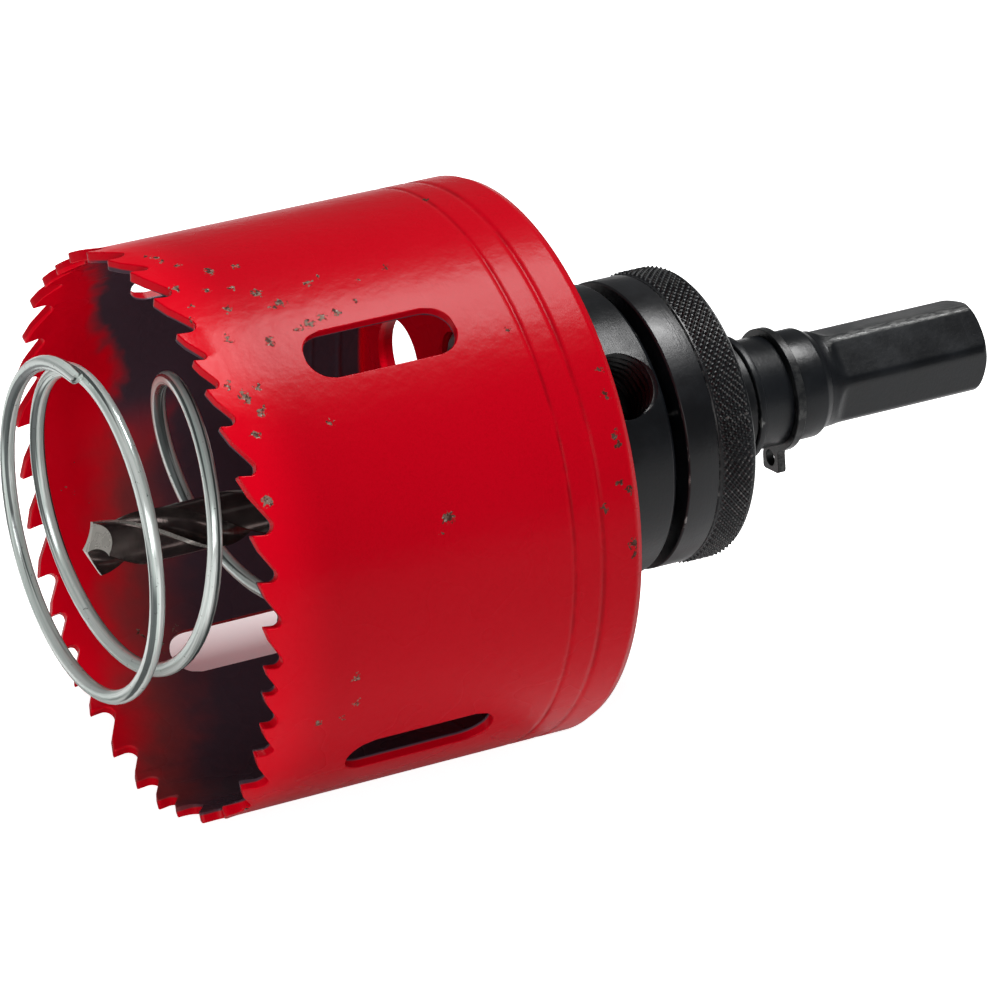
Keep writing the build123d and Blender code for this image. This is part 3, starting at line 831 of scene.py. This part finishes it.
def build_arbor(material):
    end, edge = SHANK_END_Z, SHANK_EDGE
    stations = [*np.linspace(HEX_START_Z, HEX_START_Z + 2.4, 9)[1:], 96, 99, 103, 107, 111]
    shank = [(HEX_ROUND_R, z) for z in stations]
    shank += moved(arc(edge, 0, math.pi / 2, 9), (HEX_ROUND_R - edge, end - edge))
    groove = (CIRCLIP_Z[0] - 0.05, CIRCLIP_Z[1] + 0.05)
    front = rounded([
        (DRILL_BORE_R, DRILL_BORE_END_Z, 0), (DRILL_BORE_R, NOSE_FRONT_Z, 0.2),
        (NOSE_R - 1.0, NOSE_FRONT_Z, 0.15), (NOSE_R, NOSE_FRONT_Z + 1.0, 0.15),
        (NOSE_R, CUP_LENGTH, 0.0), (COLLAR_R - 0.5, CUP_LENGTH, 0.2),
        (COLLAR_R, CUP_LENGTH + 0.5, 0.25), (COLLAR_R, COLLAR_END_Z - 0.55, 0.25),
        (COLLAR_R - 0.5, COLLAR_END_Z, 0.25), (STEM_R, COLLAR_END_Z, 0.15),
        (STEM_R, groove[0], 0.12), (CIRCLIP_GROOVE_R, groove[0], 0.05),
        (CIRCLIP_GROOVE_R, groove[1], 0.05), (STEM_R, groove[1], 0.12), (STEM_R, STEM_END_Z, 0.5),
        (HEX_ROUND_R, HEX_START_Z, 0.5)], 0.2)[:-2]
    outline = front + shank + [(3.0, end), (0.0, end), (0.0, DRILL_BORE_END_Z)]
    # Columns stand close together at the hexagon's corners.
    turns = [*np.linspace(0, HEX_CORNER, 5), *np.linspace(HEX_CORNER, 60 - HEX_CORNER, 25)[1:],
             *np.linspace(60 - HEX_CORNER, 60, 5)[1:-1]]
    columns = [HEX_AZIMUTH + 60 * side + turn for side in range(6) for turn in turns]
    mesh = mesh_of("arbor_body", *lathe(outline, columns, hex_radius), 24)
    obj = finish_piece("arbor_body", mesh, [material], "arbor")
    cutters = [hole(PIN_R + 0.05, CUP_LENGTH, COLLAR_END_Z, c) for c in pin_centres()]
    carve(obj, cutters + [mesh_of("thread", *threaded_hole())])
    smooth(obj.data, 24)


def screw_point(r, t, height):
    """A point round the cross hole's axis, at a height above the tool's axis."""
    a = math.radians(SCREW_AZIMUTH)
    u, w = r * math.cos(t), r * math.sin(t)
    return (math.cos(a) * height - math.sin(a) * u, math.sin(a) * height + math.cos(a) * u,
            SCREW_Z + w)


def threaded_hole():
    """The tapped cross hole as a solid: a helical thread along the screw's own axis."""
    columns, per_turn = 48, 8
    start, stop = DRILL_R - 1.0, COLLAR_R + 1.5
    rows = int((stop - start) / THREAD_PITCH * per_turn)
    points = []
    for i in range(rows + 1):
        height = start + (stop - start) * i / rows
        mouth = max(0.0, height - (COLLAR_R - 0.25))
        for c in range(columns):
            wave = 1 - abs(2 * ((height / THREAD_PITCH - c / columns) % 1) - 1)
            # The thread has flat crests and roots.
            depth = min(1.0, max(0.0, wave * 1.5 - 0.25))
            r = THREAD_CREST_R + (SCREW_HOLE_R - THREAD_CREST_R) * depth
            r = max(r, SCREW_HOLE_R + mouth) if mouth > 0 else r
            points.append(screw_point(r, 2 * math.pi * c / columns, height))
    ends = [tuple(range(columns)), tuple(rows * columns + c for c in range(columns))]
    return points, tube(rows, columns) + ends


def build_screw(material):
    """The socket set screw, down on the drill."""
    low, high, r, apothem = DRILL_BORE_R, DRILL_BORE_R + SCREW_LENGTH, SCREW_R, SOCKET_APOTHEM
    floor = high - SOCKET_DEPTH
    # Rings of radius, height and whether the ring is a hexagon.
    rings = [(0.0, low, False), (r - 0.5, low, False), (r, low + 0.5, False),
             (r, high - 0.45, False), (r - 0.45, high, False), (apothem * 1.22, high, False),
             (apothem, high - 0.15, True), (apothem, floor, True), (0.0, floor - 0.6, False)]
    columns = 48
    points = []
    for radius, height, hexed in rings:
        for c in range(columns):
            t = 2 * math.pi * c / columns
            turn = math.degrees(t) % 60 - 30
            q = radius / math.cos(math.radians(turn)) if hexed else radius
            points.append(screw_point(q, t, height))
    mesh = mesh_of("set_screw", points, tube(len(rings) - 1, columns))
    finish_piece("set_screw", mesh, [material], "arbor")


def build_plate(material):
    front, rear = PLATE_FRONT_Z, PLATE_REAR_Z
    outline = rounded([
        (BORE_R, front, 0.2), (PLATE_R - 0.2, front, 0.1), (PLATE_R, front + 0.2, 0.1),
        (PLATE_R, rear - 0.12, 0.1), (PLATE_R - 0.2, rear, 0.1), (BORE_R, rear, 0.1)], 0.2)
    mesh = mesh_of("drive_plate", *lathe(outline))
    obj = finish_piece("drive_plate", mesh, [material], "sleeve")
    carve(obj, [hole(PIN_R, front, rear, c) for c in pin_centres()])


def build_pins(material):
    outline = rounded([
        (0, PIN_FRONT_Z, 0), (PIN_R - 0.5, PIN_FRONT_Z, 0.15), (PIN_R, PIN_FRONT_Z + 0.5, 0.15),
        (PIN_R, PLATE_REAR_Z, 0.0), (0, PLATE_REAR_Z, 0)], 0.1)
    points, faces = lathe(outline, 64)
    for number, centre in enumerate(pin_centres(), start=1):
        name = f"drive_pin_{number}"
        mesh = mesh_of(name, moved(points, centre), faces)
        finish_piece(name, mesh, [material], "sleeve")


KNURLS = 106
KNURL_ROWS = 5
KNURL_DEPTH = 0.42
KNURL_SPLIT = 4


def knurl_height(i, j):
    """A round-topped bump wherever two crossing sets of ridges meet, and a groove between."""
    a, b = (i + j) / KNURL_SPLIT, (i - j) / KNURL_SPLIT
    bump = (0.5 - 0.5 * math.cos(math.pi * a)) * (0.5 - 0.5 * math.cos(math.pi * b))
    return min(1.0, 1.25 * bump)


def build_grip(material):
    """The knurled ring and its hub."""
    front, rear = PLATE_REAR_Z + 0.4, GRIP_REAR_Z - 0.4
    columns, rows = 2 * KNURLS * KNURL_SPLIT, 2 * KNURL_ROWS * KNURL_SPLIT
    low = GRIP_R - KNURL_DEPTH
    points, faces = [], tube(rows, columns)
    for j in range(rows + 1):
        z = front + (rear - front) * j / rows
        fade = min(1.0, j / 3, (rows - j) / 3)
        points += [polar(low + KNURL_DEPTH * fade * knurl_height(i, j), 360 * i / columns, z)
                   for i in range(columns)]
    # Plain borders, the ends and the hub close the ring.
    touch = PLATE_REAR_Z + 0.02
    ends = {0: [(low, front - 0.15), (low - 0.2, touch), (BORE_R, touch)],
            rows: [(low, rear + 0.12), (low - 0.3, GRIP_REAR_Z), (HUB_R + 0.5, GRIP_REAR_Z),
                   (HUB_R + 0.12, GRIP_REAR_Z + 0.12), (HUB_R, GRIP_REAR_Z + 0.5),
                   (HUB_R, HUB_END_Z - 0.25), (HUB_R - 0.25, HUB_END_Z), (BORE_R, HUB_END_Z)]}
    last = []
    for row, chain in ends.items():
        ring = row * columns
        for r, z in chain:
            faces += quads(ring, len(points), columns)
            ring = len(points)
            points += [polar(r, 360 * i / columns, z) for i in range(columns)]
        last.append(ring)
    faces += quads(*last, columns)
    mesh = mesh_of("grip_ring", points, faces, 40)
    finish_piece("grip_ring", mesh, [material], "sleeve")


def build_washer(material):
    front, rear = HUB_END_Z, HUB_END_Z + WASHER_T
    outline = rounded([(BORE_R, front, 0.1), (WASHER_R, front, 0.3), (WASHER_R, rear, 0.3),
                       (BORE_R, rear, 0.1)], 0.2)
    mesh = mesh_of("hub_washer", *lathe(outline, 128))
    finish_piece("hub_washer", mesh, [material], "sleeve")


def slab(outline, z0, z1, bevel):
    """A flat outline of (x, y) points, counter-clockwise, given thickness and broken edges."""
    p = [Vector(q) for q in outline]
    count = len(p)
    points = []
    for z, inset in ((z0, bevel), (z0 + bevel, 0.0), (z1 - bevel, 0.0), (z1, bevel)):
        for k in range(count):
            u = (p[k] - p[k - 1]).normalized()
            v = (p[(k + 1) % count] - p[k]).normalized()
            out = Vector((u.y + v.y, -u.x - v.x)).normalized()
            q = p[k] - out * (inset / max(0.5, out.dot(Vector((u.y, -u.x)))))
            points.append((q.x, q.y, z))
    ends = [tuple(range(count))[::-1], tuple(range(3 * count, 4 * count))]
    return points, ends + tube(3, count)


def build_circlip(material):
    """The retaining ring: a flat open ring with an eared hole at each end."""
    inner, outer, gap = CIRCLIP_GROOVE_R, 7.7, 0.85
    half_width, tip, hole_at, hole_r = 1.85, 10.4, 8.7, 1.05
    turn = (gap + half_width) / hole_at
    side = [(8.75, -half_width), (9.95, -half_width), (10.27, -1.72), (tip, -1.4), (tip, 1.4),
            (10.27, 1.72), (9.95, half_width), (7.9, half_width), (7.62, 1.93)]
    half = [(math.sqrt(inner ** 2 - gap ** 2), gap), (8.55, gap)] + turned(side, turn)
    start = math.atan2(half[-1][1], half[-1][0]) + 0.03
    first = math.asin(gap / inner)
    outline = half + arc(outer, start, 2 * math.pi - start, 90)
    outline += [(x, -y) for x, y in reversed(half)]
    outline += arc(inner, 2 * math.pi - first, first, 90)[1:-1]
    a = math.radians(CIRCLIP_AZIMUTH)
    mesh = mesh_of("circlip", *slab(turned(outline, a), *CIRCLIP_Z, 0.07))
    obj = finish_piece("circlip", mesh, [material], "arbor")
    centres = arc(hole_at, a - turn, a + turn, 2)
    carve(obj, [hole(hole_r, *CIRCLIP_Z, c, 40) for c in centres])


# ---- pilot drill and spring ----

def drill_section():
    """The drill's outline round its axis, its first flute towards +x, and each side's kind."""
    at, r = DRILL_WEB / 2 + DRILL_FLUTE_R, DRILL_FLUTE_R
    reach = math.acos((DRILL_R ** 2 + at ** 2 - r ** 2) / (2 * DRILL_R * at))
    meets = math.atan2(DRILL_R * math.sin(reach), DRILL_R * math.cos(reach) - at)
    edge = reach + DRILL_MARGIN / DRILL_R
    flute = moved(arc(r, 2 * math.pi - meets, meets, 25), (at, 0))
    margin = [flute.pop()] + arc(DRILL_R, reach, edge, 4)[1:-1]
    land = arc(DRILL_R, edge, edge, 1)
    land += arc(DRILL_RELIEVED_R, edge + 0.05, math.pi - reach - 0.02, 16)
    half = flute + margin + land
    kinds = ["flute"] * len(flute) + ["margin"] * len(margin) + ["land"] * len(land)
    return half + turned(half, math.pi), kinds * 2


def grind_point(bm):
    """Cuts the drill's point: two planes for each lip, the flank and a steeper one behind it."""
    # Each lip runs outwards at this azimuth; its flank falls away behind it.
    lip = math.radians(DRILL_FLUTE_AZIMUTH + 36.7 + 360 * 1.7 / DRILL_LEAD)
    for turn in (0.0, math.pi):
        along = Vector((math.cos(lip + turn), math.sin(lip + turn), 0))
        behind = Vector((-along.y, along.x, 0))
        for lift, outwards, back, metal in ((0.0, 0.414, 0.20, 1), (-0.62, 0.30, 0.95, 2)):
            # The ground plane is z = tip + lift + outwards * along + back * behind.
            normal = (Vector((0, 0, -1)) + along * outwards + behind * back).normalized()
            place = Vector((0, 0, DRILL_TIP_Z + lift + 0.08))
            cut = bmesh.ops.bisect_plane(bm, geom=bm.verts[:] + bm.edges[:] + bm.faces[:],
                                         plane_co=place, plane_no=normal, clear_outer=True,
                                         dist=1e-6)
            edges = [e for e in cut["geom_cut"] if isinstance(e, bmesh.types.BMEdge)]
            for face in bmesh.ops.edgenet_fill(bm, edges=edges)["faces"]:
                face.material_index = metal


def build_drill(materials):
    """The twist drill: a swept section, its point ground by planes, and a plain shank."""
    section, kinds = drill_section()
    start, end, step = DRILL_TIP_Z - 1.0, DRILL_TIP_Z + DRILL_FLUTE_LENGTH, 0.5
    rows, count = int(round((end - start) / step)), len(section)
    points, faces = [], tube(rows, count)
    for j in range(rows + 1):
        turn = math.radians(DRILL_FLUTE_AZIMUTH + 360 * step * j / DRILL_LEAD)
        points += [(x, y, start + step * j) for x, y in turned(section, turn)]
    metal = [int(kind == "margin") for kind in kinds] * rows + [1, 0]
    faces += [tuple(range(count))[::-1], tuple(rows * count + k for k in range(count))]
    shank = [(0, end), (DRILL_R, end, 0.1), (DRILL_R, DRILL_END_Z, 0.3), (0, DRILL_END_Z)]
    more, more_faces = lathe(rounded(shank, 0.1), 64)
    faces += [tuple(v + len(points) for v in f) for f in more_faces]
    metal += [0] * len(more_faces)
    mesh = bpy.data.meshes.new("pilot_drill")
    mesh.from_pydata(points + more, [], faces)
    mesh.polygons.foreach_set("material_index", metal)
    bm = bmesh.new()
    bm.from_mesh(mesh)
    bmesh.ops.recalc_face_normals(bm, faces=bm.faces)
    grind_point(bm)
    bmesh.ops.triangulate(bm, faces=[f for f in bm.faces if len(f.verts) > 4])
    for vert in bm.verts:
        vert.co = to_row(vert.co)
    bmesh.ops.recalc_face_normals(bm, faces=bm.faces)
    bm.to_mesh(mesh)
    bm.free()
    smooth(mesh, 28)
    finish_piece("pilot_drill", mesh, materials, "arbor")


def soft_floor(value, floor):
    """value, levelling off smoothly above floor."""
    return floor + SPRING_BLEND * math.log(1 + math.exp((value - floor) / SPRING_BLEND))


def spring_point(turn):
    """Centre of the wire after a number of turns from the free end."""
    seat_r, seat_z = NOSE_R + WIRE_R + 0.35, CAP_FRONT_Z - WIRE_R - 0.35
    tightened, risen = (a * turn ** power for a, power in (SPRING_TIGHTENING, SPRING_RISE))
    radius = soft_floor(SPRING_FREE_R - tightened, seat_r)
    z = -soft_floor(-SPRING_FREE_Z - risen, -seat_z)
    x, y = spot(radius, SPRING_FREE_AZIMUTH - 360 * turn)
    lean = ((radius - seat_r) / (SPRING_FREE_R - seat_r)) ** 0.5
    return Vector((x + SPRING_LEAN[0] * lean, y + SPRING_LEAN[1] * lean, z))


def build_spring(material):
    """The coil, sheared off a little askew at its free end."""
    sides, rows = 20, int(SPRING_TURNS * 64)
    points, unrolled = [], []
    travelled, last = 0.0, spring_point(0.0)
    for j in range(rows + 1):
        t = SPRING_TURNS * j / rows
        centre = spring_point(t)
        heading = (spring_point(t + 1e-3) - spring_point(max(0.0, t - 1e-3))).normalized()
        side = heading.cross(Vector((0, 0, 1))).normalized()
        up = side.cross(heading)
        travelled, last = travelled + (centre - last).length, centre
        for c in range(sides):
            u, v = spot(1.0, 360 * c / sides)
            unrolled += [u * WIRE_R / 1000, v * WIRE_R / 1000, travelled / 1000]
            shear = 0.32 * u + 0.1 * v if j == 0 else 0.0
            r = WIRE_R * (0.9 if j == 0 else 1.0)
            points.append(tuple(centre + (side * u + up * v) * r + heading * shear))
    ends = [tuple(range(sides)), tuple(rows * sides + c for c in range(sides))]
    mesh = mesh_of("ejector_spring", points, tube(rows, sides) + ends, 40)
    mesh.attributes.new("unrolled", "FLOAT_VECTOR", "POINT").data.foreach_set("vector", unrolled)
    finish_piece("ejector_spring", mesh, [material], "arbor")


# ---- run ----

PAINT = red_paint()
BLACK = black_oxide("black_oxide")
KNURL_BLACK = black_oxide("knurled_black_oxide", (9, 10, 12), 0.35, lathed=False)
PLATE_BLACK = black_oxide("plate_black_oxide", (7, 8, 11), 0.8, shine=0.34)
CLIP_BLACK = black_oxide("spring_steel_oxide", (9, 10, 11), 0.12, lathed=False)
ZINC = zinc_wire()
HSS = drill_steel()
GROUND = ground_steel()
PIN_STEEL = ground_steel("pin_steel", (150, 150, 150), (0.3, 0.45))

build_band(PAINT)
build_cap(PAINT)
build_arbor(BLACK)
build_screw(BLACK)
build_plate(PLATE_BLACK)
build_pins(PIN_STEEL)
build_grip(KNURL_BLACK)
build_washer(BLACK)
build_circlip(CLIP_BLACK)
build_drill([HSS, GROUND, GROUND])
build_spring(ZINC)

# ---- stage, lamps and camera ----

FLOOR_Z = -0.034
FLOOR_HALF = 6.0


def build_floor():
    mesh = bpy.data.meshes.new("floor")
    mesh.from_pydata([(x * FLOOR_HALF, y * FLOOR_HALF, FLOOR_Z)
                      for x, y in ((-1, -1), (1, -1), (1, 1), (-1, 1))], [], [(0, 1, 2, 3)])
    floor = new_object("floor", mesh)
    g = Graph("white_floor")
    g.set(Base_Color=(0.92, 0.92, 0.92, 1), Roughness=0.9, Specular_IOR_Level=0.0)
    # It is white to the camera, but under the cup, where only a slot shows it, it is painted darker
    # and pink: a painted shadow with the red light that the cup throws there.
    seen = g.add("ShaderNodeLightPath").outputs["Is Camera Ray"]
    away = g.vector("DISTANCE", g.place, (-0.0855, 0.031, FLOOR_Z), "Value")
    shade = g.ramp(away, 0.019, 0.012)
    g.set(Emission_Color=g.mix(shade, (1, 1, 1, 1), (1.0, 0.62, 0.66, 1)),
          Emission_Strength=g.times(seen, g.ramp(shade, 0.0, 1.0, 0.85, 0.14)))
    mesh.materials.append(g.material)


def lamp(name, place, target, size, power):
    data = bpy.data.lights.new(name, "AREA")
    data.shape = "RECTANGLE"
    data.size, data.size_y = size
    data.energy = power
    obj = new_object(name, data)
    obj.location = place
    obj.rotation_euler = (Vector(target) - Vector(place)).to_track_quat("-Z", "Y").to_euler()


build_floor()
AIM = (-0.085, 0.0, 0.0)
lamp("overhead_softbox", (0.17, 0.01, 0.56), AIM, (0.29, 0.17), 4.1)
lamp("front_softbox", (-0.42, -0.80, 0.30), AIM, (0.8, 0.4), 2.2)
lamp("mouth_softbox", (-0.70, -0.60, 0.22), (-0.114, 0.0, 0.0), (0.30, 0.30), 1.6)

world = bpy.context.scene.world = bpy.data.worlds.new("studio")
world.use_nodes = True
background = world.node_tree.nodes["Background"].inputs
background["Color"].default_value = (1, 1, 1, 1)
background["Strength"].default_value = 0.16

camera_data = bpy.data.cameras.new("camera")
camera_data.sensor_width = 36.0
camera_data.lens = 211.83
camera = new_object("camera", camera_data)
camera.location = (-0.3704, -0.5580, 0.3050)
camera.rotation_euler = (math.radians(63.915), 0.0, math.radians(-28.63))
bpy.context.scene.camera = camera
bpy.context.scene.view_settings.view_transform = "Standard"
